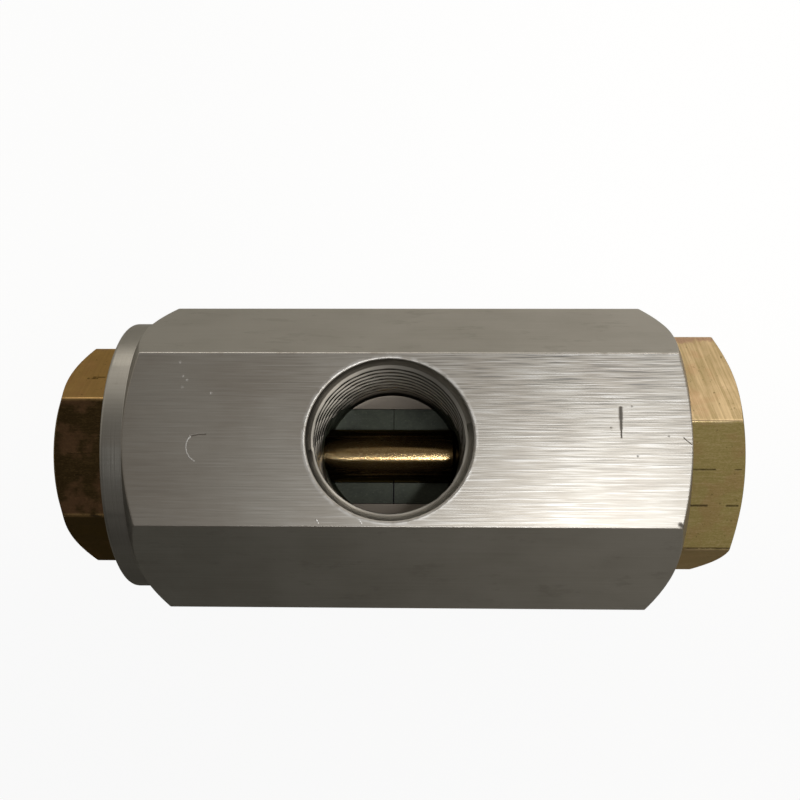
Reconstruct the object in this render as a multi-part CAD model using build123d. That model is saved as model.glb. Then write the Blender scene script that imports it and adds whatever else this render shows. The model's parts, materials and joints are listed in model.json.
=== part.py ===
from build123d import *
import math
import os

# Spring-closed release valve on a hexagon bar, lengths in millimetres.
# The main axis runs along X, the release port looks up along +Z, and the
# bar lies on the flat opposite that port. The origin is on that flat,
# straight below the port's axis.

# Hexagon bar body
bar_flats = 24.0
axis_z = bar_flats / 2
bar_corner_r = bar_flats / math.sqrt(3)
body_right = 23.6
hex_left = -21.4
body_left = -23.2
collar_r = 11.95
right_chamfer_deg = 27.0
left_chamfer_deg = 32.0
edge_break = 0.2
bar_edge_r = 0.15

# Release port in the top flat, sized for a G 1/4 thread
port_wall_r = 5.80
port_entry_r = 6.62
port_mouth_r = 6.85
port_entry_z = 22.9
port_ledge_deg = 30.0
port_thread_bottom_z = 16.6
port_lower_r = 5.58
port_floor_z = 11.8

# Reducing fittings: outer thread radii are the mean of thread crest and root
inlet_flats = 19.0
inlet_roll_deg = 21.0
inlet_end = 28.6
inlet_male_r = 8.0
inlet_wall_r = 5.80
inlet_port_bottom = 19.4
inlet_bore_r = 4.4
inlet_drill_deg = 59.0
inlet_nose = 15.9
inlet_chamfer_r = 9.8
inlet_chamfer_deg = 44.0
inlet_mouth = 0.9
pilot_flats = 17.0
pilot_roll_deg = 7.6
pilot_end = -28.6
pilot_male_r = 6.2
pilot_wall_r = 4.28
pilot_port_bottom = -21.0
pilot_nose = -14.8
pilot_chamfer_r = 7.44
pilot_chamfer_deg = 26.0
pilot_mouth = 0.75
nose_chamfer = 0.5
corner_margin = 0.3
thread_gap = 0.03
neck_step = 0.35
neck_length = 1.4
fitting_edge_r = 0.2

# Face seals under the fittings' hexagons
face_seal_section_r = 0.5
face_seal_gap = 0.02
recess_depth = 1.1
recess_gap = 0.08

# Sleeves that butt at the middle of the port and are cross-drilled with it
sleeve_r = 4.35
sleeve_bore_r = 2.47
sleeve_gap = 0.05
sleeve_left = -10.6
sleeve_right = 8.0
joint_gap = 0.055
sleeve_seal_x = 7.1
sleeve_groove_width = 0.8
sleeve_groove_floor_r = 3.67
sleeve_seal_section_r = 0.35

# Chambers of the body on each side of the sleeves
nose_room = 0.6
spacer_step = -10.4
spacer_r = 5.0
spacer_bore_r = 3.95
lip_face = 8.8
lip_r = 3.7
chamber_r = 5.6
seat_shoulder = 14.5
seat_pocket_r = 7.25
seat_pocket_right = 15.8

# Spool that slides in the sleeves, shown closed
stroke = 2.5
land_r = 2.41
land_left = -10.9
land_right = 5.6
land_chamfer = 0.3
spool_groove_x = -7.5
spool_groove_width = 1.0
spool_groove_floor_r = 1.68
spool_seal_section_r = 0.37
neck_r = 1.7
disc_back = lip_face + stroke + 0.2
stud_r = 1.25
stud_end = 16.5
tail_r = 1.4
tail_end = -12.8
clip_groove_r = 1.0

# Valve head on the spool's right end
disc_r = 4.6
disc_thickness = 1.1
rim_height = 0.7
rim_wall = 0.3
facing_thickness = 1.0
washer_r = 2.6
washer_thickness = 0.4
nut_flats = 5.0
nut_height = 2.0
seat_gap = 0.05
seat_bore_r = 3.4
seat_lip_wall = 0.3
seat_lip_slope = 0.8
seat_r = 7.2
seat_groove_width = 0.8
seat_groove_floor_r = 6.5
seat_seal_section_r = 0.35
hole_gap = 0.03

# Spring, its seats and the jet in the pilot fitting
spring_seat_r = 3.6
spring_seat_thickness = 0.7
clip_thickness = 0.4
clip_r = 2.4
clip_mouth = 1.7
shim_thickness = 0.5
shim_r = 4.1
shim_bore_r = 1.9
spring_mean_r = 3.2
spring_wire_r = 0.35
spring_turns = 5.5
pocket_r = 4.3
pocket_bottom = -19.1
jet_r = 1.5
jet_orifice_r = 0.4
jet_cone_r = 1.0
jet_slot_width = 0.5
jet_slot_depth = 0.6

main_axis = Axis((0, 0, axis_z), (1, 0, 0))
port_axis = Axis((0, 0, 0), (0, 0, 1))


def turned(profile):
    """Solid of revolution about the main axis from a closed list of (x, radius)."""
    points = [(x, 0, axis_z + r) for x, r in profile]
    return revolve(make_face(Polyline(*points, close=True)), main_axis)


def tube(x_low, x_high, outer_r, inner_r):
    """Plain ring about the main axis."""
    return turned([(x_low, inner_r), (x_low, outer_r), (x_high, outer_r), (x_high, inner_r)])


def hexagon_bar(flats, roll_deg, x_low, x_high, edge_r=0):
    """Hexagonal prism along X whose first corner is roll_deg up from +Y, long edges rounded to edge_r."""
    plane = Plane(origin=(x_low, 0, axis_z), x_dir=(0, 1, 0), z_dir=(1, 0, 0))
    section = RegularPolygon(flats / 2, 6, major_radius=False, rotation=roll_deg)
    if edge_r > 0:
        section = fillet(section.vertices(), edge_r)
    return extrude(plane * section, x_high - x_low)


def ring_seal(x, inner_r, section_r):
    """Round-section ring about the main axis, resting on inner_r."""
    return Pos(x, 0, axis_z) * Rot(0, 90, 0) * Torus(inner_r + section_r, section_r)


def groove(x, width, floor_r, outer_r):
    """Ring of metal that a groove in an outside surface takes away."""
    return tube(x - width / 2, x + width / 2, outer_r + 1, floor_r)


def valve_body():
    beyond = bar_corner_r + corner_margin
    left_run = (beyond - collar_r) * math.tan(math.radians(left_chamfer_deg))
    right_run = (beyond - collar_r) * math.tan(math.radians(right_chamfer_deg))
    envelope = turned([
        (body_left, 0),
        (body_left, collar_r - edge_break),
        (body_left + edge_break, collar_r),
        (hex_left, collar_r),
        (hex_left + left_run, beyond),
        (body_right - right_run, beyond),
        (body_right, collar_r),
        (body_right, 0),
    ])
    body = hexagon_bar(bar_flats, 0, body_left, body_right, bar_edge_r) & envelope
    left_recess_r = pilot_male_r - neck_step + 2 * face_seal_section_r + recess_gap + face_seal_gap
    right_recess_r = inlet_male_r - neck_step + 2 * face_seal_section_r + recess_gap + face_seal_gap
    bore = turned([
        (body_left - 1, 0),
        (body_left - 1, left_recess_r),
        (body_left + recess_depth, left_recess_r),
        (body_left + recess_depth, pilot_male_r + thread_gap),
        (pilot_nose + nose_room, pilot_male_r + thread_gap),
        (pilot_nose + nose_room, spacer_r + sleeve_gap),
        (spacer_step, spacer_r + sleeve_gap),
        (spacer_step, sleeve_r + sleeve_gap),
        (sleeve_right, sleeve_r + sleeve_gap),
        (sleeve_right, lip_r),
        (lip_face, lip_r),
        (lip_face, chamber_r),
        (seat_shoulder, chamber_r),
        (seat_shoulder, seat_pocket_r),
        (seat_pocket_right, seat_pocket_r),
        (seat_pocket_right, inlet_male_r + thread_gap),
        (body_right - recess_depth, inlet_male_r + thread_gap),
        (body_right - recess_depth, right_recess_r),
        (body_right + 1, right_recess_r),
        (body_right + 1, 0),
    ])
    return body - bore - release_port()


def release_port():
    """Metal that the release port takes away: mouth chamfer, entry, thread wall, floor."""
    mouth_step = port_mouth_r - port_entry_r
    ledge_drop = (port_entry_r - port_wall_r) * math.tan(math.radians(port_ledge_deg))
    profile = [
        (0, bar_flats + 1),
        (port_mouth_r, bar_flats + 1),
        (port_mouth_r, bar_flats),
        (port_entry_r, bar_flats - mouth_step),
        (port_entry_r, port_entry_z),
        (port_wall_r, port_entry_z - ledge_drop),
        (port_wall_r, port_thread_bottom_z),
        (port_lower_r, port_thread_bottom_z),
        (port_lower_r, port_floor_z),
        (0, port_floor_z),
    ]
    points = [(r, 0, z) for r, z in profile]
    return revolve(make_face(Polyline(*points, close=True)), port_axis)


def inlet_fitting():
    """Reducing fitting on the right: hexagon, neck, outer thread, inner port."""
    beyond = inlet_flats / math.sqrt(3) + corner_margin
    chamfer_run = (beyond - inlet_chamfer_r) * math.tan(math.radians(inlet_chamfer_deg))
    shape = turned([
        (inlet_end, 0),
        (inlet_end, inlet_chamfer_r),
        (inlet_end - chamfer_run, beyond),
        (body_right, beyond),
        (body_right, inlet_male_r - neck_step),
        (body_right - neck_length, inlet_male_r - neck_step),
        (body_right - neck_length - neck_step, inlet_male_r),
        (inlet_nose + nose_chamfer, inlet_male_r),
        (inlet_nose, inlet_male_r - nose_chamfer),
        (inlet_nose, 0),
    ])
    blank = hexagon_bar(inlet_flats, inlet_roll_deg, inlet_nose, inlet_end, fitting_edge_r)
    drill_run = (inlet_wall_r - inlet_bore_r) / math.tan(math.radians(inlet_drill_deg))
    port = turned([
        (inlet_end + 1, 0),
        (inlet_end + 1, inlet_wall_r + inlet_mouth),
        (inlet_end, inlet_wall_r + inlet_mouth),
        (inlet_end - inlet_mouth, inlet_wall_r),
        (inlet_port_bottom, inlet_wall_r),
        (inlet_port_bottom - drill_run, inlet_bore_r),
        (inlet_nose - 1, inlet_bore_r),
        (inlet_nose - 1, 0),
    ])
    return (blank & shape) - port


def pilot_fitting():
    """Reducing fitting on the left: hexagon, neck, outer thread, port, jet seat, spring pocket."""
    beyond = pilot_flats / math.sqrt(3) + corner_margin
    chamfer_run = (beyond - pilot_chamfer_r) * math.tan(math.radians(pilot_chamfer_deg))
    shape = turned([
        (pilot_end, 0),
        (pilot_end, pilot_chamfer_r),
        (pilot_end + chamfer_run, beyond),
        (body_left, beyond),
        (body_left, pilot_male_r - neck_step),
        (body_left + neck_length, pilot_male_r - neck_step),
        (body_left + neck_length + neck_step, pilot_male_r),
        (pilot_nose - nose_chamfer, pilot_male_r),
        (pilot_nose, pilot_male_r - nose_chamfer),
        (pilot_nose, 0),
    ])
    blank = hexagon_bar(pilot_flats, pilot_roll_deg, pilot_end, pilot_nose, fitting_edge_r)
    port = turned([
        (pilot_end - 1, 0),
        (pilot_end - 1, pilot_wall_r + pilot_mouth),
        (pilot_end, pilot_wall_r + pilot_mouth),
        (pilot_end + pilot_mouth, pilot_wall_r),
        (pilot_port_bottom, pilot_wall_r),
        (pilot_port_bottom, jet_r),
        (pocket_bottom, jet_r),
        (pocket_bottom, pocket_r),
        (pilot_nose + 1, pocket_r),
        (pilot_nose + 1, 0),
    ])
    return (blank & shape) - port


def cross_drilled_sleeve(end, seal_x):
    """Sleeve from the middle joint to end, its upper half drilled away inside the release port."""
    low, high = sorted([math.copysign(joint_gap / 2, end), end])
    ring = tube(low, high, sleeve_r, sleeve_bore_r)
    ring = ring - groove(seal_x, sleeve_groove_width, sleeve_groove_floor_r, sleeve_r)
    return ring - release_port()


def sleeve_spacer():
    return tube(pilot_nose, sleeve_left, spacer_r, spacer_bore_r)


def spool():
    """Land with its seal groove, neck and head stud to the right, tail with clip groove to the left."""
    seat_left = land_left - spring_seat_thickness
    groove_low = spool_groove_x - spool_groove_width / 2
    groove_high = spool_groove_x + spool_groove_width / 2
    return turned([
        (tail_end, 0),
        (tail_end, tail_r - edge_break),
        (tail_end + edge_break, tail_r),
        (seat_left - clip_thickness - hole_gap, tail_r),
        (seat_left - clip_thickness - hole_gap, clip_groove_r),
        (seat_left, clip_groove_r),
        (seat_left, tail_r),
        (land_left, tail_r),
        (land_left, land_r - edge_break),
        (land_left + edge_break, land_r),
        (groove_low, land_r),
        (groove_low, spool_groove_floor_r),
        (groove_high, spool_groove_floor_r),
        (groove_high, land_r),
        (land_right - land_chamfer, land_r),
        (land_right, land_r - land_chamfer),
        (land_right, neck_r),
        (disc_back, neck_r),
        (disc_back, stud_r),
        (stud_end - edge_break, stud_r),
        (stud_end, stud_r - edge_break),
        (stud_end, 0),
    ])


def poppet_disc():
    """Cup that backs the soft facing and holds it at the rim."""
    face = disc_back + disc_thickness
    return turned([
        (disc_back, stud_r + hole_gap),
        (disc_back, disc_r - edge_break),
        (disc_back + edge_break, disc_r),
        (face + rim_height, disc_r),
        (face + rim_height, disc_r - rim_wall),
        (face, disc_r - rim_wall),
        (face, stud_r + hole_gap),
    ])


def poppet_facing():
    face = disc_back + disc_thickness
    return tube(face, face + facing_thickness, disc_r - rim_wall - hole_gap, stud_r + hole_gap)


def poppet_washer():
    low = disc_back + disc_thickness + facing_thickness
    return tube(low, low + washer_thickness, washer_r, stud_r + hole_gap)


def poppet_nut():
    """Hexagon nut with both end faces turned to a chamfer."""
    low = disc_back + disc_thickness + facing_thickness + washer_thickness
    high = low + nut_height
    corner_r = nut_flats / math.sqrt(3)
    rise = (corner_r - nut_flats / 2 + 0.1) * math.tan(math.radians(30))
    envelope = turned([
        (low, stud_r + hole_gap),
        (low, nut_flats / 2 - 0.1),
        (low + rise, corner_r),
        (high - rise, corner_r),
        (high, nut_flats / 2 - 0.1),
        (high, stud_r + hole_gap),
    ])
    return hexagon_bar(nut_flats, 0, low, high) & envelope


def seat_ring():
    """Flanged ring with a raised lip that the facing closes on."""
    lip_face_x = disc_back + disc_thickness + facing_thickness + seat_gap
    lip_r_outer = seat_bore_r + seat_lip_wall
    ring = turned([
        (lip_face_x, seat_bore_r),
        (lip_face_x, lip_r_outer),
        (seat_shoulder, lip_r_outer + seat_lip_slope),
        (seat_shoulder, seat_r),
        (inlet_nose, seat_r),
        (inlet_nose, seat_bore_r),
    ])
    middle = (seat_shoulder + inlet_nose) / 2
    return ring - groove(middle, seat_groove_width, seat_groove_floor_r, seat_r)


def spring_seat():
    """Flat washer between the spool's land and the spring."""
    left = land_left - spring_seat_thickness
    return tube(left, land_left, spring_seat_r, tail_r + hole_gap)


def spring_clip():
    """Clip ring, open at the bottom, that keeps the spring seat on the tail."""
    left = land_left - spring_seat_thickness - clip_thickness
    ring = tube(left, left + clip_thickness, clip_r, clip_groove_r + hole_gap)
    mouth = Pos(left, 0, axis_z - clip_r) * Box(4 * clip_thickness, clip_mouth, 2 * clip_r)
    return ring - mouth


def return_spring():
    """Round wire wound between the shim and the spring seat, end turns ground flat."""
    low = pocket_bottom + shim_thickness
    high = land_left - spring_seat_thickness
    pitch = (high - low) / spring_turns
    path = Helix(pitch, high - low, spring_mean_r, center=(low, 0, axis_z), direction=(1, 0, 0))
    section = Plane(origin=path @ 0, z_dir=path % 0) * Circle(spring_wire_r)
    wire = sweep(section, path)
    return wire & tube(low, high, spring_mean_r + 1, spring_mean_r - 1)


def spring_shim():
    return tube(pocket_bottom, pocket_bottom + shim_thickness, shim_r, shim_bore_r)


def pilot_jet():
    """Threaded jet with a driver slot on its port side and a coned orifice."""
    cone_run = jet_cone_r - jet_orifice_r
    body = turned([
        (pilot_port_bottom, jet_orifice_r),
        (pilot_port_bottom, jet_r - thread_gap),
        (pocket_bottom, jet_r - thread_gap),
        (pocket_bottom, jet_cone_r),
        (pocket_bottom - cone_run, jet_orifice_r),
    ])
    slot_centre = pilot_port_bottom + jet_slot_depth / 2
    slot = Pos(slot_centre, 0, axis_z) * Box(jet_slot_depth, jet_slot_width, 4 * jet_r)
    return body - slot


def build_all():
    """Every separate piece by its node name."""
    inlet_neck_r = inlet_male_r - neck_step + face_seal_gap
    pilot_neck_r = pilot_male_r - neck_step + face_seal_gap
    seal_offset = recess_depth - face_seal_section_r - face_seal_gap
    seat_middle = (seat_shoulder + inlet_nose) / 2
    return {
        "valve_body": valve_body(),
        "inlet_fitting": inlet_fitting(),
        "pilot_fitting": pilot_fitting(),
        "inlet_fitting_seal": ring_seal(body_right - seal_offset, inlet_neck_r, face_seal_section_r),
        "pilot_fitting_seal": ring_seal(body_left + seal_offset, pilot_neck_r, face_seal_section_r),
        "left_sleeve": cross_drilled_sleeve(sleeve_left, -sleeve_seal_x),
        "right_sleeve": cross_drilled_sleeve(sleeve_right, sleeve_seal_x),
        "left_sleeve_seal": ring_seal(-sleeve_seal_x, sleeve_groove_floor_r, sleeve_seal_section_r),
        "right_sleeve_seal": ring_seal(sleeve_seal_x, sleeve_groove_floor_r, sleeve_seal_section_r),
        "sleeve_spacer": sleeve_spacer(),
        "seat_ring": seat_ring(),
        "seat_ring_seal": ring_seal(seat_middle, seat_groove_floor_r, seat_seal_section_r),
        "spool": spool(),
        "spool_seal": ring_seal(spool_groove_x, spool_groove_floor_r, spool_seal_section_r),
        "poppet_disc": poppet_disc(),
        "poppet_facing": poppet_facing(),
        "poppet_washer": poppet_washer(),
        "poppet_nut": poppet_nut(),
        "spring_seat": spring_seat(),
        "spring_clip": spring_clip(),
        "return_spring": return_spring(),
        "spring_shim": spring_shim(),
        "pilot_jet": pilot_jet(),
    }


os.makedirs("parts", exist_ok=True)
for name, shape in build_all().items():
    export_step(shape, f"parts/{name}.step")
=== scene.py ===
import json
import math
from functools import reduce
import bmesh
import bpy
import numpy as np
from mathutils import Euler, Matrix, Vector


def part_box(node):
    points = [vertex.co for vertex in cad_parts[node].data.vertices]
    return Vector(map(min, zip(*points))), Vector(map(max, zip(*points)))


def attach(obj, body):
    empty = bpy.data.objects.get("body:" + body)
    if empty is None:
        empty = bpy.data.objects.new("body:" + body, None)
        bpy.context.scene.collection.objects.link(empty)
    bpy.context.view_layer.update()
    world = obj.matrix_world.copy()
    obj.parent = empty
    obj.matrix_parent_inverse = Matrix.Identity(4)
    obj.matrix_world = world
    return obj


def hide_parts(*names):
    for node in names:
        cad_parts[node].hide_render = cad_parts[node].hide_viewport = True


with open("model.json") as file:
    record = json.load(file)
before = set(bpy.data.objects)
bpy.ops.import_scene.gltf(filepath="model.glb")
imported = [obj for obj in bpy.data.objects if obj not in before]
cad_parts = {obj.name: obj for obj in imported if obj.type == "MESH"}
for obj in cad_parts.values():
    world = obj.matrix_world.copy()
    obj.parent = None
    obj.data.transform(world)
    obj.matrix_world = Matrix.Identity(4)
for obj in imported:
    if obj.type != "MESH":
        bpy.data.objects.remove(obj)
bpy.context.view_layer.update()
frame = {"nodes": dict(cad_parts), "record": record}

mm = 0.001
print("frame loaded")


# Places of the pieces, in millimetres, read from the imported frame
def nodeEnds(node):
    low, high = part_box(node)
    return low.x / mm, high.x / mm


bodyLow, bodyHigh = [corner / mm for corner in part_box("valve_body")]
axisHeight = (bodyLow.z + bodyHigh.z) / 2
print("main axis at", round(axisHeight, 2), "mm")


# A channel wraps one socket that carries a number, and Python's operators add the Math nodes
class Channel:
    def __init__(self, finish, socket):
        self.finish = finish
        self.socket = socket

    def maths(self, operation, *values):
        inputs = dict(enumerate(values))
        return self.finish.channel("ShaderNodeMath", {"operation": operation}, inputs)

    def __add__(self, other):
        return self.maths("ADD", self, other)

    __radd__ = __add__

    def __sub__(self, other):
        return self.maths("SUBTRACT", self, other)

    def __rsub__(self, other):
        return self.maths("SUBTRACT", other, self)

    def __mul__(self, other):
        return self.maths("MULTIPLY", self, other)

    __rmul__ = __mul__

    def __truediv__(self, other):
        return self.maths("DIVIDE", self, other)

    def __rtruediv__(self, other):
        return self.maths("DIVIDE", other, self)

    def __pow__(self, power):
        return self.maths("POWER", self, power)

    def __abs__(self):
        return self.maths("ABSOLUTE", self)

    def above(self, level, width):  # 0 under the level, 1 over it, with a smooth step between
        return self.finish.channel("ShaderNodeMapRange", {"interpolation_type": "SMOOTHSTEP"}, {
            "Value": self, "From Min": level - width / 2, "From Max": level + width / 2})

    def under(self, level, width):
        return 1 - self.above(level, width)

    def least(self, other):
        return self.maths("MINIMUM", self, other)

    def most(self, other):
        return self.maths("MAXIMUM", self, other)

    def root(self):
        return self.maths("SQRT", self)

    def wave(self):
        return self.maths("SINE", self)


# A finish is one material: add() makes a node from its type, its settings and its sockets' values
class Finish:
    def __init__(self, name):
        self.material = bpy.data.materials.new(name)
        self.material.use_nodes = True
        self.tree = self.material.node_tree
        self.tree.nodes.clear()
        self.shader = self.add("ShaderNodeBsdfPrincipled")
        self.tree.links.new(self.shader.outputs[0], self.add("ShaderNodeOutputMaterial").inputs[0])
        coordinates = self.add("ShaderNodeTexCoord").outputs["Object"]
        self.point = self.add("ShaderNodeVectorMath", {"operation": "SCALE"}, {
            0: coordinates, "Scale": 1 / mm}).outputs[0]
        parts = self.add("ShaderNodeSeparateXYZ", {}, {0: self.point}).outputs
        self.x, self.y, self.z = [Channel(self, part) for part in parts]

    def add(self, kind, settings=None, inputs=None):
        node = self.tree.nodes.new(kind)
        for key, value in (settings or {}).items():
            if key == "stops":
                self.setStops(node.color_ramp, value)
            else:
                setattr(node, key, value)
        for key, value in (inputs or {}).items():
            self.feed(node.inputs[key], value)
        return node

    def setStops(self, ramp, stops):
        while len(ramp.elements) < len(stops):
            ramp.elements.new(1.0)
        for element, (place, colour) in zip(ramp.elements, stops):
            element.position = place
            element.color = (*colour, 1.0)

    def feed(self, socket, value):
        if isinstance(value, Channel):
            self.tree.links.new(value.socket, socket)
        elif isinstance(value, bpy.types.NodeSocket):
            self.tree.links.new(value, socket)
        elif socket.type == "RGBA":
            socket.default_value = (*value, 1.0)
        else:
            socket.default_value = value

    def channel(self, kind, settings=None, inputs=None):
        return Channel(self, self.add(kind, settings, inputs).outputs[0])

    def vector(self, x, y, z):
        return self.add("ShaderNodeCombineXYZ", {}, {0: x, 1: y, 2: z}).outputs[0]

    def noise(self, where, scale, detail=3.0, roughness=0.55):
        return self.channel("ShaderNodeTexNoise", {}, {
            "Vector": where, "Scale": scale, "Detail": detail, "Roughness": roughness})

    def cells(self, where, scale):  # distance to the nearest of scattered points
        return self.channel("ShaderNodeTexVoronoi", {}, {"Vector": where, "Scale": scale})

    def blend(self, amount, first, second, kind="MIX"):
        settings = {"data_type": "RGBA", "blend_type": kind}
        return self.add("ShaderNodeMix", settings, {"Factor": amount, 6: first, 7: second}).outputs[2]

    def ramp(self, value, low, high):  # 0 at low, 1 at high, straight between and clamped
        return self.channel("ShaderNodeMapRange", {}, {"Value": value, "From Min": low, "From Max": high})

    def strokes(self, lines):  # 1 on lines through (x, y) points, each with its width
        covered = []
        for points, width in lines:
            parts = [self.segment(start, end) for start, end in zip(points, points[1:])]
            covered.append(reduce(Channel.least, parts).under(width / 2, width * 0.7))
        return reduce(Channel.most, covered)

    def dots(self, places, width):  # 1 on round spots at (x, y) places
        parts = [((self.x - x) * (self.x - x) + (self.y - y) * (self.y - y)).root() for x, y in places]
        return reduce(Channel.least, parts).under(width / 2, width * 0.8)

    def segment(self, start, end):  # distance to a straight piece of a line
        run = (end[0] - start[0], end[1] - start[1])
        length = math.hypot(*run)
        way = (run[0] / length, run[1] / length)
        across = (self.x - start[0]) * -way[1] + (self.y - start[1]) * way[0]
        along = (self.x - start[0]) * way[0] + (self.y - start[1]) * way[1]
        over = (0 - along).most(along - length).most(0)
        return (across * across + over * over).root()

    def bump(self, height, depth, under=None):  # height 0..1 stands for a depth in millimetres
        inputs = {"Height": height, "Distance": depth * mm}
        if under is not None:
            inputs["Normal"] = under
        return self.add("ShaderNodeBump", {}, inputs).outputs[0]

    def portReach(self):  # distance from the port's axis, in the port's slightly squashed frame
        across = self.x - port["place"]
        up = self.y / port["squash"]
        return (across * across + up * up).root()

    def radius(self):  # distance from the main axis
        up = self.z - axisHeight
        return (self.y * self.y + up * up).root()

    def faceDistances(self, roll):  # distances from the axis along the hexagon's three face directions
        up = self.z - axisHeight
        turns = [math.radians(roll + turn) for turn in (30, 90, 150)]
        return [self.y * math.cos(turn) + up * math.sin(turn) for turn in turns]

    def edgeDistance(self, roll, flats):  # along a flat, how far the nearest long edge is
        one, two, three = [abs(distance) for distance in self.faceDistances(roll)]
        second = one.least(two).most(one.most(two).least(three))
        return (flats / 2 - second) / math.sin(math.radians(60))

    def mixShader(self, share, other):  # share of another shader over the main one
        output = next(node for node in self.tree.nodes if node.type == "OUTPUT_MATERIAL")
        mix = self.add("ShaderNodeMixShader", {}, {0: share, 1: self.shader.outputs[0], 2: other})
        self.feed(output.inputs[0], mix.outputs[0])

    def set(self, **values):
        for name, value in values.items():
            self.feed(self.shader.inputs[name.replace("_", " ")], value)


# Surfaces: a section is a row of (x, radius) points for each angle round an axis
cornerSteps = 4


# Angles and radii of a hexagon with rounded corners: on a flat the radius is the flat's distance
# over the cosine of the angle from its middle, and round a corner it is the far crossing of
# the ray with a circle that touches both flats
def hexagonSection(flats, roll, rounding, flatSteps=14, cornerPoints=6):
    inner = flats / 2 - rounding
    flatEnd = inner * math.tan(math.radians(30))
    along = np.linspace(0, flatEnd, flatSteps)
    turn = np.linspace(0, math.radians(30), cornerPoints)[1:]
    across = np.concatenate([along, flatEnd + rounding * np.sin(turn)])
    out = np.concatenate([np.full(flatSteps, flats / 2), inner + rounding * np.cos(turn)])
    half = np.arctan2(across, out)
    size = np.hypot(across, out)
    angle = np.concatenate([-half[:0:-1], half[:-1]])
    radius = np.concatenate([size[:0:-1], size[:-1]])
    middles = np.radians(roll + 30 + 60 * np.arange(6))
    return (middles[:, None] + angle[None]).ravel(), np.tile(radius, 6)


def roundSection(count):
    return np.linspace(0, 2 * math.pi, count, endpoint=False)


# A section's line is straight between its corners, and each corner (x, radius, ease) becomes a
# quadratic curve that leaves the line at the ease distance before it and joins it that far after
def easedLine(count, corners):
    places = [[np.broadcast_to(value, count) for value in corner[:2]] for corner in corners]
    places = np.moveaxis(np.array(places), 2, 0)
    ease = np.array([corner[2] for corner in corners])[None, :, None]
    back = np.roll(places, 1, 1) - places
    onward = np.roll(places, -1, 1) - places
    shares = [np.minimum(ease / np.maximum(np.linalg.norm(way, axis=2, keepdims=True), 1e-6), 0.45)
              for way in (back, onward)]
    start = (places + back * shares[0])[:, :, None]
    end = (places + onward * shares[1])[:, :, None]
    t = np.linspace(0, 1, cornerSteps + 1)[None, None, :, None]
    curve = (1 - t) ** 2 * start + 2 * t * (1 - t) * places[:, :, None] + t ** 2 * end
    return curve.reshape(count, -1, 2)


def insertAfter(line, corner, rows):
    cut = (corner + 1) * (cornerSteps + 1)
    return np.concatenate([line[:, :cut], rows, line[:, cut:]], 1)


# Rows of a thread: at each place along the axis the radius is the inner plus the depth times a
# triangle wave of (place / pitch - angle / a full turn + start), clipped flat at roots and where
# the drill cut the crests off, and it fades out at both ends
def threadRows(angles, start, end, thread, perTurn=20):
    count = int(abs(end - start) / thread["pitch"] * perTurn)
    along = np.linspace(start, end, count)[None]
    phase = (along / thread["pitch"] - angles[:, None] / (2 * math.pi) + thread["start"]) % 1
    wave = np.clip((1 - abs(2 * phase - 1)) * 1.15 - 0.07, 0, 1)
    firstFade, lastFade = [turns * thread["pitch"] for turns in thread["fade"]]
    fade = np.minimum(abs(along - end) / firstFade, abs(along - start) / lastFade)
    depth = thread["depth"] * np.clip(fade, 0, 1)
    radius = np.maximum(thread["crest"], thread["inner"] + depth * wave)
    return np.stack([np.broadcast_to(along, radius.shape), radius], 2)


# Carries a section round the main axis: (x, radius, angle) becomes (x, r cos, axis + r sin)
def roundMainAxis(angles, line):
    x, radius = line[..., 0], line[..., 1]
    turn = angles[:, None]
    return np.stack([x, radius * np.cos(turn), axisHeight + radius * np.sin(turn)], 2)


# Carries a section round the port's axis: (height, radius, angle) becomes (place + r cos,
# r sin times the squash, height)
def roundPortAxis(angles, line):
    height, radius = line[..., 0], line[..., 1]
    turn = angles[:, None]
    return np.stack([port["place"] + radius * np.cos(turn), port["squash"] * radius * np.sin(turn),
                     height], 2)


# Joins a grid of points into faces, both ways round, and closes the poles on the axis
def pieceFromGrid(name, grid):
    rows, columns = grid.shape[:2]
    i, j = np.meshgrid(np.arange(rows), np.arange(columns), indexing="ij")
    nextRow, nextColumn = (i + 1) % rows, (j + 1) % columns
    faces = np.stack([i * columns + j, nextRow * columns + j,
                      nextRow * columns + nextColumn, i * columns + nextColumn], 2)
    mesh = bpy.data.meshes.new(name)
    mesh.from_pydata((grid.reshape(-1, 3) * mm).tolist(), [], faces.reshape(-1, 4).tolist())
    work = bmesh.new()
    work.from_mesh(mesh)
    bmesh.ops.remove_doubles(work, verts=work.verts, dist=1e-7)
    bmesh.ops.delete(work, geom=[edge for edge in work.edges if not edge.link_faces], context="EDGES")
    work.to_mesh(mesh)
    work.free()
    piece = bpy.data.objects.new(name, mesh)
    bpy.context.scene.collection.objects.link(piece)
    return piece


def shadeSmooth(piece, sharp=40):
    piece.data.shade_smooth()
    piece.data.set_sharp_from_angle(angle=math.radians(sharp))
    weighted = piece.modifiers.new("weighted normals", "WEIGHTED_NORMAL")
    weighted.keep_sharp = True
    weighted.weight = 80


def handOver(piece, body, node, finish):
    piece.data.materials.clear()
    piece.data.materials.append(finish.material)
    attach(piece, body)
    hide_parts(node)
    print("made", piece.name, len(piece.data.polygons), "faces")


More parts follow.
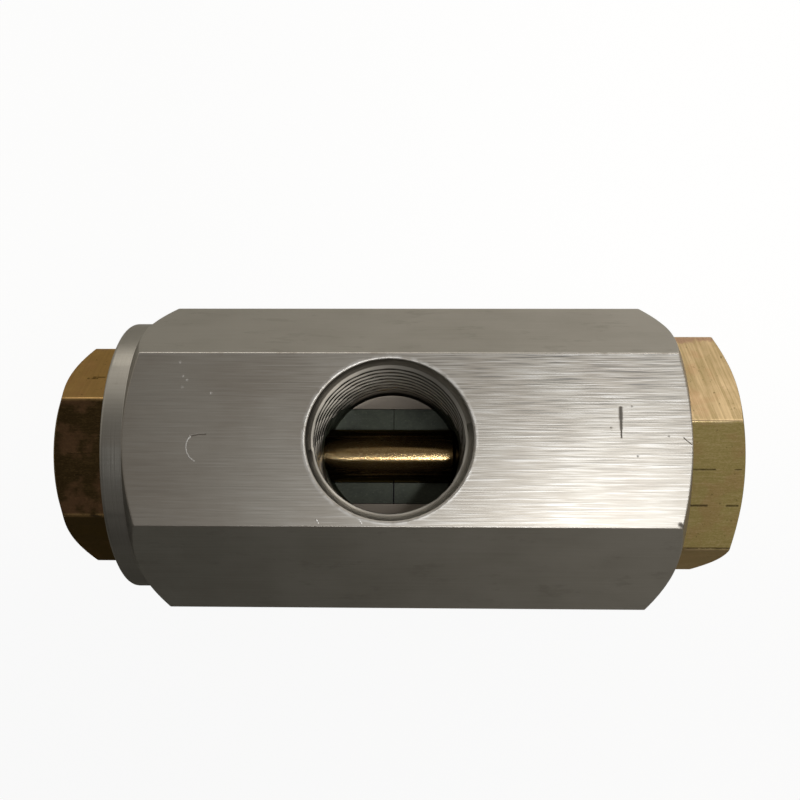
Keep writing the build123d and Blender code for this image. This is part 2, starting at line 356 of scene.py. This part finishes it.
# Hexagon bar body with its side port
body = {
    "flats": bodyHigh.z - bodyLow.z,
    "edge": 0.15,
    "left": bodyLow.x,
    "right": bodyHigh.x,
    "collarWidth": 1.8,
    "collarRadius": 11.95,
    "leftChamfer": 32,
    "rightChamfer": 27,
    "recess": 1.1,
    "recessRadii": (6.95, 8.75),
    "threadRadii": (6.23, 8.03),
    "spacerRadius": 5.05,
    "spacerStep": -10.4,
    "leftThreadEnd": -14.2,
    "sleeveRadius": 4.40,
    "sleeveEnd": 8.0,
    "lipRadius": 3.7,
    "lipFace": 8.8,
    "chamberRadius": 5.6,
    "seatShoulder": 14.5,
    "seatPocket": (7.25, 15.8),
}
port = {
    "place": -0.16,
    "squash": 0.967,
    "mouth": 6.85,
    "rollOver": 0.2,
    "coneTop": 23.92,
    "threadTop": 23.5,
    "threadBottom": 12.5,
    "bevelTop": 12.12,
    "floorRadius": 5.84,
    "floor": 11.8,
}
portThread = {"pitch": 1.337, "crest": 6.02, "inner": 5.78, "depth": 0.86, "fade": (0.05, 1.2),
              "start": 0.25}


def bodyLine(count, hexRadius):
    b = body
    hexLeft = b["left"] + b["collarWidth"]
    leftStart = hexLeft + (hexRadius - b["collarRadius"]) * math.tan(math.radians(b["leftChamfer"]))
    rightEnd = b["right"] - (hexRadius - b["collarRadius"]) * math.tan(math.radians(b["rightChamfer"]))
    return easedLine(count, [
        (b["left"], b["recessRadii"][0], 0.05),
        (b["left"], b["collarRadius"], 0.28),
        (hexLeft, b["collarRadius"], 0.05),
        (leftStart, hexRadius, 0.10),
        (rightEnd, hexRadius, 0.10),
        (b["right"], b["collarRadius"], 0.12),
        (b["right"], b["recessRadii"][1], 0.05),
        (b["right"] - b["recess"], b["recessRadii"][1], 0.03),
        (b["right"] - b["recess"], b["threadRadii"][1], 0.03),
        (b["seatPocket"][1], b["threadRadii"][1], 0.03),
        (b["seatPocket"][1], b["seatPocket"][0], 0.03),
        (b["seatShoulder"], b["seatPocket"][0], 0.03),
        (b["seatShoulder"], b["chamberRadius"], 0.03),
        (b["lipFace"], b["chamberRadius"], 0.03),
        (b["lipFace"], b["lipRadius"], 0.03),
        (b["sleeveEnd"], b["lipRadius"], 0.03),
        (b["sleeveEnd"], b["sleeveRadius"], 0.03),
        (b["spacerStep"], b["sleeveRadius"], 0.03),
        (b["spacerStep"], b["spacerRadius"], 0.03),
        (b["leftThreadEnd"], b["spacerRadius"], 0.03),
        (b["leftThreadEnd"], b["threadRadii"][0], 0.03),
        (b["left"] + b["recess"], b["threadRadii"][0], 0.03),
        (b["left"] + b["recess"], b["recessRadii"][0], 0.03),
    ])


# The port's cutter: pole on the floor, bevel, thread and coned mouth, pole above the flat
def portCutter():
    p = port
    angles = roundSection(224)
    top = body["flats"]
    line = easedLine(len(angles), [
        (p["floor"], 0, 0),
        (p["floor"], p["floorRadius"], 0.03),
        (p["bevelTop"], portThread["crest"], 0.03),
        (p["threadBottom"], portThread["crest"], 0.0),
        (p["coneTop"], p["mouth"] - p["rollOver"], 0.04),
        (top, p["mouth"], 0.0),
        (top + 1, p["mouth"] + 0.2, 0),
        (top + 1, 0, 0),
    ])
    rows = threadRows(angles, p["threadBottom"] + 0.05, p["threadTop"], portThread)
    cone = p["mouth"] - p["rollOver"] - (p["coneTop"] - rows[..., 0])
    rows[..., 1] = np.maximum(rows[..., 1], cone)
    return pieceFromGrid("port_cutter", roundPortAxis(angles, insertAfter(line, 3, rows)))


def cutPort(piece):
    cutter = portCutter()
    cut = piece.modifiers.new("port", "BOOLEAN")
    cut.operation = "DIFFERENCE"
    cut.solver = "MANIFOLD"
    cut.object = cutter
    bpy.context.view_layer.update()
    ready = bpy.data.meshes.new_from_object(piece.evaluated_get(bpy.context.evaluated_depsgraph_get()))
    piece.modifiers.clear()
    piece.data = ready
    bpy.data.objects.remove(cutter)
    shadeSmooth(piece)


def makeBody():
    angles, hexRadius = hexagonSection(body["flats"], 0, body["edge"])
    piece = pieceFromGrid("bar_body", roundMainAxis(angles, bodyLine(len(angles), hexRadius)))
    cutPort(piece)
    return piece


# Small damage on the top flat, as lines through (x, y) points with a width, and specks
darkMarks = [
    ([(-15.89, 0.19), (-15.3, 0.32), (-14.72, 0.34)], 0.13),
    ([(17.98, 2.55), (17.99, 1.7)], 0.26),
    ([(17.99, 1.8), (18.0, 0.9)], 0.18),
    ([(18.0, 1.0), (18.01, 0.2)], 0.1),
    ([(22.87, 0.17), (23.45, -0.32)], 0.07),
    ([(22.45, -6.6), (22.8, -6.86)], 0.3),
]
lightMarks = [
    ([(-15.89, 0.16), (-16.12, -0.05), (-16.24, -0.4), (-16.26, -0.74), (-16.17, -1.11),
      (-15.92, -1.51), (-15.57, -1.77)], 0.09),
    ([(-5.83, -6.35), (-5.7, -6.6)], 0.08),
    ([(-2.52, -6.3), (-2.3, -6.62)], 0.07),
]
paleSpecks = [(-16.89, 6.14), (-16.6, 5.0), (-16.67, 4.12), (-14.35, 3.65), (-16.3, 4.7)]
darkSpecks = [(17.2, 0.98), (18.87, 2.69), (21.7, 0.33), (19.26, -1.26)]


# Brushed bar: long streaks along X on the ground flats, turning marks on the collar, chamfers and port
def barFinish():
    f = Finish("brushed_bar")
    broad = f.noise(f.vector(f.x * 0.03, f.y, f.z), 1.6, 2)
    fine = f.noise(f.vector(f.x * 0.02, f.y, f.z), 6.5, 1.5, 0.6)
    hair = f.noise(f.vector(f.x * 0.03, f.y, f.z), 11.0, 1, 0.5)
    grit = f.noise(f.point, 11.0, 2, 0.6)
    paintedLightToRight = f.ramp(f.x, -12.0, 14.0)
    portRadius = f.portReach()
    fromLeft = f.x - (body["left"] + body["collarWidth"])
    fromRight = body["right"] - f.x
    rise = f.radius() - body["collarRadius"]
    onLeftCone = (fromLeft - rise * math.tan(math.radians(body["leftChamfer"]))).under(0.03, 0.03)
    onRightCone = (fromRight - rise * math.tan(math.radians(body["rightChamfer"]))).under(0.03, 0.03)
    inPort = portRadius.under(port["mouth"] + 0.03, 0.04) * f.z.above(port["floor"] - 0.3, 0.3)
    onThread = inPort * f.z.under(port["threadTop"], 0.1)
    onBevel = inPort * f.z.above(port["floor"] + 0.05, 0.06) * f.z.under(port["bevelTop"] + 0.25, 0.2)
    onFloor = inPort * f.z.under(port["floor"] + 0.05, 0.06)
    turnedPart = onLeftCone.most(onRightCone).most(inPort)
    rings = f.noise(f.vector(f.x, f.radius(), 0.0), 7.0, 3, 0.7)
    portRings = f.noise(f.vector(portRadius, f.z, 0.0), 9.0, 2, 0.6)
    marks = rings * (1 - inPort) + portRings * inPort * (1 - onThread * 0.8)
    brushed = fine * 0.5 + hair * 0.5
    grain = brushed * (1 - turnedPart) + marks * turnedPart
    cloud = f.noise(f.point, 0.16, 3)
    smudge = f.noise(f.vector(f.x * 0.5, f.y, f.z), 0.5, 4, 0.7).above(0.62, 0.12)
    # Pale rubbed long edges: partly real wear, partly a painted edge highlight, as it is kept off the lower
    # front edge
    wearAndEdgeHighlight = f.edgeDistance(0, body["flats"]).under(0.16, 0.3) * f.noise(f.point, 0.9, 4).above(0.42, 0.2)
    wearAndEdgeHighlight = wearAndEdgeHighlight * (1 - f.y.under(-5.0, 1.0) * f.z.above(body["flats"] - 2, 1.0))
    rim = abs(portRadius - port["mouth"]).under(0.14, 0.2) * f.z.above(body["flats"] - 0.2, 0.1)
    rim = rim * f.noise(f.point, 1.3, 3).above(0.45, 0.3)
    front = f.z.above(body["flats"] - 0.06, 0.06)
    onFlat = front * portRadius.above(port["mouth"] + 0.05, 0.1)
    gritty = f.ramp(grit, 0.38, 0.58)
    dark = f.strokes(darkMarks).most(f.dots(darkSpecks, 0.16) * gritty * 0.6) * onFlat
    bright = f.strokes(lightMarks).most(f.dots(paleSpecks, 0.2) * gritty * 0.8) * (0.4 + gritty * 0.6) * onFlat

    satin = f.blend(cloud.above(0.5, 0.35), (0.35, 0.335, 0.30), (0.40, 0.385, 0.35))
    satin = f.blend(f.ramp(fine, 0.35, 0.7) * 0.3, satin, (0.47, 0.455, 0.425))
    satin = f.blend(smudge * 0.3, satin, (0.25, 0.235, 0.205))
    ground = f.blend(cloud.above(0.5, 0.35), (0.35, 0.32, 0.28), (0.39, 0.365, 0.325))
    # Brushed streaks are real grain; their bright part grows towards the right as a painted sheen
    streak = f.ramp(brushed, 0.5, 0.64) * (0.15 + paintedLightToRight * 0.65)
    ground = f.blend(streak, ground, (0.56, 0.55, 0.53))
    # Dark streaks weighted towards the upper right: painted shade
    paintedShadeUpRight = 0.12 + paintedLightToRight * f.ramp(f.y, -6.0, 7.0) * 0.9
    ground = f.blend(f.ramp(brushed, 0.49, 0.37) * paintedShadeUpRight, ground, (0.17, 0.165, 0.155))
    bore = f.blend(marks, (0.25, 0.235, 0.205), (0.36, 0.34, 0.30))
    # Thread crests painted dark: painted shade
    onCrest = onThread * portRadius.under(portThread["crest"] + 0.05, 0.06)
    # Painted shade on the upper-left side of the mouth cone and counterbore
    paintedConeShade = inPort * (1 - onThread) * f.ramp(f.y * 0.5 - f.x, -2.0, 5.0)
    bore = f.blend(paintedConeShade * 0.65, bore, (0.11, 0.10, 0.086))
    bore = f.blend(onThread, bore, (0.52, 0.50, 0.46))
    bore = f.blend(onCrest * 0.9, bore, (0.10, 0.095, 0.085))
    # Port floor and its bevel painted darker: painted shade in the bottom of the hole
    bore = f.blend(onFloor * 0.9, bore, (0.18, 0.155, 0.128))
    bore = f.blend(onBevel * 0.7, bore, (0.03, 0.028, 0.022))
    base = f.blend(front, satin, ground)
    base = f.blend(inPort * (1 - front), base, bore)
    base = f.blend((wearAndEdgeHighlight * 0.5).most(rim * 0.7), base, (0.6, 0.585, 0.56))
    onCollar = f.x.under(body["left"] + body["collarWidth"] - 0.05, 0.1)
    base = f.blend(onCollar * f.x.above(body["left"] + 0.2, 0.1) * 0.35, base, (0.15, 0.14, 0.125))
    base = f.blend(dark * 0.85, base, (0.07, 0.06, 0.05))
    base = f.blend(bright * 0.8, base, (0.75, 0.74, 0.72))
    f.set(Base_Color=base, Metallic=0.95 - dark * 0.3, Specular_Tint=(0.75, 0.73, 0.70))
    f.set(Roughness=0.33 + (broad - 0.5) * 0.04 - wearAndEdgeHighlight * 0.06 + smudge * (1 - front) * 0.06 + dark * 0.2)
    height = fine * 0.6 + hair * 0.3 + broad * 0.1
    height = height * (1 - turnedPart) + marks * turnedPart
    f.set(Normal=f.bump(bright * 0.3 - dark * 0.5, 0.02, f.bump(height, 0.011)))
    return f


handOver(makeBody(), "housing", "valve_body", barFinish())


# Reducing fittings: hexagon, neck and outer thread, with a threaded port in the outer end
inlet = {
    "flats": 19.0, "roll": 21.0, "edge": 0.25, "end": nodeEnds("inlet_fitting")[1],
    "bodyFace": bodyHigh.x, "maleRadius": 8.0, "neckRadius": 7.65, "neck": 1.4, "nose": 15.9,
    "chamferRadius": 9.45, "chamfer": 23, "mouth": 0.9, "bottom": 19.4, "bore": 4.4,
    "paintedReflectionFrom": 9.7, "paintedLowerFaceLight": (0.42, 0.35, 0.26),
}
inletThread = {"pitch": 1.337, "crest": 5.80, "inner": 5.72, "depth": 0.86, "fade": (0.8, 0.8), "start": 0}
pilot = {
    "flats": 17.0, "roll": 7.6, "edge": 0.25, "end": nodeEnds("pilot_fitting")[0],
    "bodyFace": bodyLow.x, "maleRadius": 6.2, "neckRadius": 5.85, "neck": 1.4, "nose": -14.8,
    "chamferRadius": 7.44, "chamfer": 26, "mouth": 0.75, "bottom": -21.0, "bore": 1.5,
    "pocketRadius": 4.3, "pocketBottom": -19.1,
    "paintedReflectionFrom": 9.6, "paintedLowerFaceLight": (0.16, 0.12, 0.08),
}
pilotThread = {"pitch": 0.907, "crest": 4.28, "inner": 4.28, "depth": 0.58, "fade": (0.8, 0.8), "start": 0}


def fittingFace(fitting, hexRadius, way):  # where the end face stops and where the flats begin
    slope = math.tan(math.radians(fitting["chamfer"]))
    past = np.maximum(hexRadius - fitting["chamferRadius"], 0)
    faceRadius = np.minimum(hexRadius, fitting["chamferRadius"])
    return faceRadius - 0.06, fitting["end"] - way * (past * slope + 0.03)


def makeInlet():
    g = inlet
    angles, hexRadius = hexagonSection(g["flats"], g["roll"], g["edge"])
    faceRadius, flatStart = fittingFace(g, hexRadius, 1)
    line = easedLine(len(angles), [
        (g["nose"], g["bore"], 0.1),
        (g["nose"], g["maleRadius"] - 0.5, 0.05),
        (g["nose"] + 0.5, g["maleRadius"], 0.05),
        (g["bodyFace"] - g["neck"] - 0.35, g["maleRadius"], 0.03),
        (g["bodyFace"] - g["neck"], g["neckRadius"], 0.03),
        (g["bodyFace"], g["neckRadius"], 0.03),
        (g["bodyFace"], hexRadius, 0.12),
        (flatStart, hexRadius, 0.05),
        (g["end"], faceRadius, 0.05),
        (g["end"], inletThread["crest"] + g["mouth"], 0.08),
        (g["end"] - g["mouth"], inletThread["crest"], 0.0),
        (g["bottom"] + 0.1, inletThread["crest"], 0.0),
        (g["bottom"], inletThread["crest"], 0.05),
        (g["bottom"] - 0.84, g["bore"], 0.05),
    ])
    rows = threadRows(angles, g["end"] - 0.35, g["bottom"] + 1.5, inletThread)
    cone = inletThread["crest"] + g["mouth"] - (g["end"] - rows[..., 0])
    rows[..., 1] = np.maximum(rows[..., 1], cone)
    line = np.delete(line, np.s_[10 * (cornerSteps + 1):11 * (cornerSteps + 1)], 1)
    piece = pieceFromGrid("inlet_bush", roundMainAxis(angles, insertAfter(line, 9, rows)))
    shadeSmooth(piece)
    return piece


def makePilot():
    g = pilot
    angles, hexRadius = hexagonSection(g["flats"], g["roll"], g["edge"])
    faceRadius, flatStart = fittingFace(g, hexRadius, -1)
    line = easedLine(len(angles), [
        (g["bottom"], g["bore"], 0.05),
        (g["bottom"], pilotThread["crest"], 0.05),
        (g["bottom"] - 0.1, pilotThread["crest"], 0.0),
        (g["end"], pilotThread["crest"] + g["mouth"], 0.08),
        (g["end"], faceRadius, 0.05),
        (flatStart, hexRadius, 0.05),
        (g["bodyFace"], hexRadius, 0.12),
        (g["bodyFace"], g["neckRadius"], 0.03),
        (g["bodyFace"] + g["neck"], g["neckRadius"], 0.03),
        (g["bodyFace"] + g["neck"] + 0.35, g["maleRadius"], 0.03),
        (g["nose"] - 0.5, g["maleRadius"], 0.05),
        (g["nose"], g["maleRadius"] - 0.5, 0.05),
        (g["nose"], g["pocketRadius"], 0.05),
        (g["pocketBottom"], g["pocketRadius"], 0.05),
        (g["pocketBottom"], g["bore"], 0.05),
    ])
    rows = threadRows(angles, g["bottom"] - 1.2, g["end"] + 0.3, pilotThread)
    cone = pilotThread["crest"] + g["mouth"] - (rows[..., 0] - g["end"])
    rows[..., 1] = np.maximum(rows[..., 1], cone)
    piece = pieceFromGrid("pilot_bush", roundMainAxis(angles, insertAfter(line, 2, rows)))
    shadeSmooth(piece)
    return piece


# Machined brass with one look per pair of faces: the first pair is freshly milled across, the others are drawn
# along X and tarnished, and the third pair carries painted light; marks are dashes cut along X
def brassFinish(name, fitting, fresh, drawn, dark, tarnish, texture, dashes):
    f = Finish(name)
    end = fitting["end"]
    depth = abs(f.x - end)
    first, second, third = f.faceDistances(fitting["roll"])
    flat = fitting["flats"] / 2 - 0.05
    onFirst = abs(first).above(flat, 0.04)
    onThird = abs(third).above(flat, 0.04)
    hexagonal = onFirst.most(onThird).most(abs(second).above(flat, 0.04))
    streaks = f.noise(f.vector(f.x * 0.07, f.y, f.z), 6.0, 4, 0.7)
    speckle = f.noise(f.vector(f.x * 0.5, f.y, f.z), 9.0, 3, 0.75)
    along = streaks * 0.45 + speckle * 0.55
    lean = f.x + (f.y - f.z) * 0.035
    across = f.noise(f.vector(lean, f.y * 0.03, f.z * 0.03), 4.2, 2, 0.6)
    rings = f.noise(f.vector(f.x, f.radius(), 0.0), 6.0, 3, 0.7)
    grain = along * (1 - onFirst) + across * onFirst
    grain = grain * hexagonal + rings * (1 - hexagonal)
    cloud = f.noise(f.point, 0.35, 5, 0.65)
    patches = cloud.above(0.5 - tarnish * 0.2, 0.3)
    spots = f.noise(f.point, 2.4, 4, 0.7).above(0.66, 0.08)
    reddish = f.noise(f.vector(f.x + 7.0, f.y, f.z), 0.42, 3, 0.6).above(0.56, 0.16)
    edge = f.edgeDistance(fitting["roll"], fitting["flats"]).under(0.16, 0.3)
    edge = edge * f.noise(f.point, 1.1, 3).above(0.42, 0.25)
    cuts = None
    for from_, to, y, width in dashes:
        over = (f.x - to).most(from_ - f.x).most(0)
        aside = (f.y - y) + (along - 0.5) * 0.15
        line = (aside * aside + over * over).root().under(width / 2, width * 0.7)
        cuts = line if cuts is None else cuts.most(line)
    cuts = cuts * f.z.above(axisHeight, 1) * f.ramp(grain, 0.3, 0.5)
    base = f.blend(onFirst, drawn, fresh)
    base = f.blend(patches * (0.6 - onFirst * 0.35), base, dark)
    base = f.blend(f.ramp(grain, 0.48, 0.7) * texture, base, [min(1, 1.5 * c) for c in fresh])
    base = f.blend(f.ramp(grain, 0.5, 0.32) * texture, base, [0.7 * c for c in dark])
    base = f.blend(reddish * 0.22, base, (0.32, 0.16, 0.09))
    # A reddish-brown band along the upper part of the first faces: a painted reflection
    paintedReflection = f.y + (f.noise(f.point, 1.2, 4, 0.7) - 0.5) * 2.2
    paintedReflection = paintedReflection.above(fitting["paintedReflectionFrom"], 0.5) * onFirst * f.z.above(axisHeight, 1)
    base = f.blend(paintedReflection * 0.75, base, (0.25, 0.155, 0.115))
    # The third pair of faces, the lower one in view, gets its own colour: painted light
    base = f.blend(onThird * 0.5, base, fitting["paintedLowerFaceLight"])
    base = f.blend(spots * 0.6, base, [0.4 * c for c in dark])
    base = f.blend(edge * 0.6, base, [min(1, 1.5 * c) for c in fresh])
    base = f.blend(cuts * 0.85, base, (0.035, 0.022, 0.01))
    f.set(Base_Color=base, Metallic=1.0, Specular_Tint=(0.75, 0.6, 0.38))
    f.set(Roughness=0.35 + (patches - 0.5) * 0.1 - edge * 0.08 + spots * 0.1)
    f.set(Normal=f.bump(1 - cuts, 0.008, f.bump(grain - spots * 0.3, 0.010)))
    return f


# Dashes cut along X: start, end, y and width
inletDashes = [(24.3, 26.1, -2.05, 0.13), (27.7, 28.2, -2.05, 0.09), (24.2, 25.7, -4.9, 0.17),
               (27.3, 28.2, -4.9, 0.14), (23.9, 28.1, -8.35, 0.12)]
pilotDashes = [(-26.3, -25.5, 5.95, 0.16), (-25.9, -24.9, 6.1, 0.12), (-27.0, -25.2, -0.8, 0.06), (-26.4, -24.4, -2.6, 0.06)]
handOver(makeInlet(), "housing", "inlet_fitting",
         brassFinish("bright_brass_finish", inlet, (0.37, 0.28, 0.17), (0.31, 0.252, 0.095),
                     (0.26, 0.205, 0.075), 0.3, 0.42, inletDashes))
handOver(makePilot(), "housing", "pilot_fitting",
         brassFinish("dark_brass_finish", pilot, (0.40, 0.255, 0.105), (0.055, 0.034, 0.013),
                     (0.036, 0.022, 0.0085), 0.5, 0.10, pilotDashes))


# Sleeves with a seal groove, drilled through together with the port
sleeve = {"radius": 4.35, "bore": 2.47, "sealPlace": 7.1, "groove": 0.8, "grooveRadius": 3.67, "edge": 0.05}


def makeSleeve(node, name):
    low, high = nodeEnds(node)
    g = sleeve
    seal = math.copysign(g["sealPlace"], low + high)
    angles = roundSection(192)
    line = easedLine(len(angles), [
        (low, g["bore"], g["edge"]),
        (low, g["radius"], g["edge"]),
        (seal - g["groove"] / 2, g["radius"], 0.03),
        (seal - g["groove"] / 2, g["grooveRadius"], 0.03),
        (seal + g["groove"] / 2, g["grooveRadius"], 0.03),
        (seal + g["groove"] / 2, g["radius"], 0.03),
        (high, g["radius"], g["edge"]),
        (high, g["bore"], g["edge"]),
    ])
    piece = pieceFromGrid(name, roundMainAxis(angles, line))
    cutPort(piece)
    return piece


# Grey-green sleeves: granular where the port's drill went through them
def sleeveFinish():
    f = Finish("sleeve_finish_grey")
    cloud = f.noise(f.point, 0.45, 4, 0.65)
    grain = f.noise(f.vector(f.x * 0.6, f.y, f.z), 5.0, 4, 0.75)
    rings = f.noise(f.vector(f.x, f.radius() * 2, 0.0), 5.0, 3, 0.7)
    reach = f.portReach()
    cut = f.z.above(port["floor"] - 0.04, 0.04) * reach.under(portThread["crest"] + 0.1, 0.04)
    base = f.blend(f.ramp(cloud, 0.35, 0.7), (0.026, 0.031, 0.020), (0.054, 0.062, 0.042))
    base = f.blend(f.ramp(grain, 0.55, 0.75) * 0.6, base, (0.12, 0.13, 0.095))
    base = f.blend(f.ramp(grain, 0.45, 0.25) * 0.5, base, (0.016, 0.019, 0.014))
    base = f.blend(abs(f.x).under(0.08, 0.05) * f.y.under(0.0, 0.5), base, (0.002, 0.002, 0.002))
    f.set(Base_Color=base, Metallic=0.45, Roughness=0.42 + (cloud - 0.5) * 0.2)
    f.set(Normal=f.bump(grain * cut + rings * (1 - cut), 0.012))
    return f


greySleeve = sleeveFinish()
for node in ("left_sleeve", "right_sleeve"):
    handOver(makeSleeve(node, "drilled_" + node), "housing", node, greySleeve)


# Small inner pieces keep their CAD meshes
def plainMetal(name, tint, roughness, metallic=0.9):
    f = Finish(name)
    rings = f.noise(f.vector(f.x, f.radius() * 2, 0.0), 5.0, 3, 0.7)
    cloud = f.noise(f.point, 0.5, 3)
    base = f.blend(cloud.above(0.5, 0.4), tint, [0.8 * c for c in tint])
    base = f.blend(rings.above(0.5, 0.5) * 0.3, base, [min(1, 1.3 * c) for c in tint])
    f.set(Base_Color=base, Metallic=metallic, Roughness=roughness + (cloud - 0.5) * 0.15)
    f.set(Normal=f.bump(rings, 0.006))
    return f


def rubber(name):
    f = Finish(name)
    grain = f.noise(f.point, 9.0, 3)
    f.set(Base_Color=f.blend(grain, (0.012, 0.012, 0.012), (0.03, 0.03, 0.028)))
    f.set(Roughness=0.55 + (grain - 0.5) * 0.2, Normal=f.bump(grain, 0.01))
    return f


# Polished by sliding: fine sparkle on golden brass with browner bands
def spoolFinish():
    f = Finish("spool_finish")
    sparkle = f.noise(f.point, 13.0, 3, 0.8)
    rings = f.noise(f.vector(f.x, f.radius() * 2, 0.0), 7.0, 3, 0.7)
    bands = f.noise(f.vector(f.x * 0.8, 0.0, 0.0), 0.5, 3)
    base = f.blend(f.ramp(bands, 0.35, 0.65), (0.30, 0.195, 0.078), (0.24, 0.15, 0.06))
    base = f.blend(f.ramp(sparkle, 0.52, 0.72), base, (0.75, 0.64, 0.40))
    base = f.blend(f.ramp(sparkle, 0.48, 0.3) * 0.6, base, (0.14, 0.085, 0.03))
    f.set(Base_Color=base, Metallic=1.0, Specular_Tint=(0.7, 0.55, 0.35))
    f.set(Roughness=0.145 + (sparkle - 0.5) * 0.2)
    f.set(Normal=f.bump(sparkle * 0.7 + rings * 0.3, 0.005))
    return f


slotFinishes = {
    "spool_brass": spoolFinish(),
    "inner_brass": plainMetal("inner_brass_finish", (0.48, 0.34, 0.15), 0.35),
    "sleeve_finish": greySleeve,
    "seal_rubber": rubber("seal_rubber_finish"),
    "facing_rubber": rubber("facing_rubber_finish"),
    "steel": plainMetal("steel_finish", (0.42, 0.42, 0.41), 0.33),
    "spring_steel": plainMetal("spring_steel_finish", (0.32, 0.32, 0.33), 0.3),
}
nodeSlots = {part["node"]: part["material_slot"] for part in frame["record"]["subparts"]}
for node, piece in frame["nodes"].items():
    if nodeSlots[node] in slotFinishes:
        piece.data.materials.clear()
        piece.data.materials.append(slotFinishes[nodeSlots[node]].material)
print("inner pieces finished")

# Floor, lamps and camera
studio = {
    "floorSize": 2.0,
    "panels": [
        {"name": "strip_lamp", "place": (0.076, -0.056, 0.48), "size": (0.27, 0.020), "watts": 0.57,
         "tint": (0.97, 0.985, 1.0)},
    ],
    "zenith": 0.26,
    "zenithRight": 0.31,
    "zenithBack": 0.2,
    "wall": 0.65,
    "wallRight": 0.4,
    "wallBack": 0.5,
    "patches": [  # brighter and darker parts of the room: azimuth, elevation, half width, strength
        (-42, 38, 24, 0.38),
        (62, 6, 18, 2.0),
        (100, 6, 14, 1.2),
        (0, 8, 24, -0.75),
    ],
    "roomTint": (1.0, 0.95, 0.87),
    "floorShown": 0.9,
    "backdrop": (0.97, 0.97, 0.97),
}


# Grey in reflections, with painted shade darker in front and towards the left, and nearly white for the camera
def floorFinish():
    f = Finish("floor_paint")
    side = f.ramp(f.x, -26.0, 26.0)
    # Darker front half and left side: painted shade seen in reflections
    front = f.blend(side, (0.13, 0.13, 0.12), (0.34, 0.33, 0.31))
    back = f.blend(side, (0.59, 0.58, 0.54), (0.90, 0.88, 0.84))
    f.set(Base_Color=f.blend(f.y.above(0.0, 50.0), front, back), Roughness=0.9)
    white = f.add("ShaderNodeEmission", {}, {"Color": (1.0, 1.0, 1.0), "Strength": 1.04}).outputs[0]
    seen = f.add("ShaderNodeLightPath").outputs["Is Camera Ray"]
    share = Channel(f, seen) * studio["floorShown"]
    f.mixShader(share, white)
    return f


def makeFloor():
    size = studio["floorSize"]
    mesh = bpy.data.meshes.new("floor")
    mesh.from_pydata([(-size, -size, 0), (size, -size, 0), (size, size, 0), (-size, size, 0)],
                     [], [(0, 1, 2, 3)])
    floor = bpy.data.objects.new("floor", mesh)
    bpy.context.scene.collection.objects.link(floor)
    floor.data.materials.append(floorFinish().material)


def makePanels():
    for panel in studio["panels"]:
        lamp = bpy.data.lights.new(panel["name"], "AREA")
        lamp.shape = "RECTANGLE"
        lamp.size, lamp.size_y = panel["size"]
        lamp.energy = panel["watts"]
        lamp.color = panel["tint"]
        holder = bpy.data.objects.new(panel["name"], lamp)
        bpy.context.scene.collection.objects.link(holder)
        holder.location = panel["place"]
        holder.rotation_euler = (-holder.location).to_track_quat("-Z", "Y").to_euler()


# World: a dim ceiling over walls that are brighter on the right and behind
def makeWorld():
    world = bpy.data.worlds.new("studio")
    bpy.context.scene.world = world
    world.use_nodes = True
    nodes, links = world.node_tree.nodes, world.node_tree.links

    def maths(operation, *values):
        node = nodes.new("ShaderNodeMath")
        node.operation = operation
        for socket, value in zip(node.inputs, values):
            if isinstance(value, bpy.types.NodeSocket):
                links.new(value, socket)
            else:
                socket.default_value = value
        return node.outputs[0]

    parts = nodes.new("ShaderNodeSeparateXYZ")
    links.new(nodes.new("ShaderNodeTexCoord").outputs["Generated"], parts.inputs[0])
    x, y, z = parts.outputs

    def slope(part):  # level straight up or level with the horizon, tilted to the right and back
        right = maths("MULTIPLY", x, studio[part + "Right"])
        return maths("ADD", maths("MULTIPLY_ADD", y, studio[part + "Back"], studio[part]), right)

    rise = nodes.new("ShaderNodeMapRange")
    rise.inputs["From Min"].default_value = 0.6
    rise.inputs["From Max"].default_value = 0.82
    links.new(z, rise.inputs["Value"])
    links.new(slope("wall"), rise.inputs["To Min"])
    links.new(slope("zenith"), rise.inputs["To Max"])
    level = rise.outputs[0]
    for azimuth, elevation, half, strength in studio["patches"]:
        turn, tilt = math.radians(azimuth), math.radians(elevation)
        towards = (math.cos(turn) * math.cos(tilt), math.sin(turn) * math.cos(tilt), math.sin(tilt))
        near = maths("MULTIPLY", x, towards[0])
        near = maths("MULTIPLY_ADD", y, towards[1], near)
        near = maths("MULTIPLY_ADD", z, towards[2], near)
        edge = nodes.new("ShaderNodeMapRange")
        edge.interpolation_type = "SMOOTHSTEP"
        edge.inputs["From Min"].default_value = math.cos(math.radians(half))
        edge.inputs["From Max"].default_value = math.cos(math.radians(half * 0.6))
        links.new(near, edge.inputs["Value"])
        level = maths("MULTIPLY_ADD", edge.outputs[0], strength, level)
    background = nodes["Background"]
    background.inputs[0].default_value = (*studio["roomTint"], 1.0)
    links.new(level, background.inputs[1])
    backdrop = nodes.new("ShaderNodeBackground")
    backdrop.inputs[0].default_value = (*studio["backdrop"], 1.0)
    mix = nodes.new("ShaderNodeMixShader")
    links.new(nodes.new("ShaderNodeLightPath").outputs["Is Camera Ray"], mix.inputs[0])
    links.new(background.outputs[0], mix.inputs[1])
    links.new(backdrop.outputs[0], mix.inputs[2])
    links.new(mix.outputs[0], nodes["World Output"].inputs[0])


cameraView = {
    "place": (1.3084, -9.1748, 94.5390),
    "turn": (5.4286, 1.1507, 0.3464),
    "lens": 40.678,
    "shift": (0.01328, 0.08822),
}


def makeCamera():
    camera = bpy.data.objects.new("camera", bpy.data.cameras.new("camera"))
    bpy.context.scene.collection.objects.link(camera)
    camera.location = [value * mm for value in cameraView["place"]]
    camera.rotation_euler = Euler([math.radians(value) for value in cameraView["turn"]])
    camera.data.lens = cameraView["lens"]
    camera.data.shift_x, camera.data.shift_y = cameraView["shift"]
    camera.data.clip_start = 0.002
    camera.data.clip_end = 10
    bpy.context.scene.camera = camera


makeFloor()
makePanels()
makeWorld()
makeCamera()
bpy.context.scene.view_settings.view_transform = "Standard"
print("studio ready")
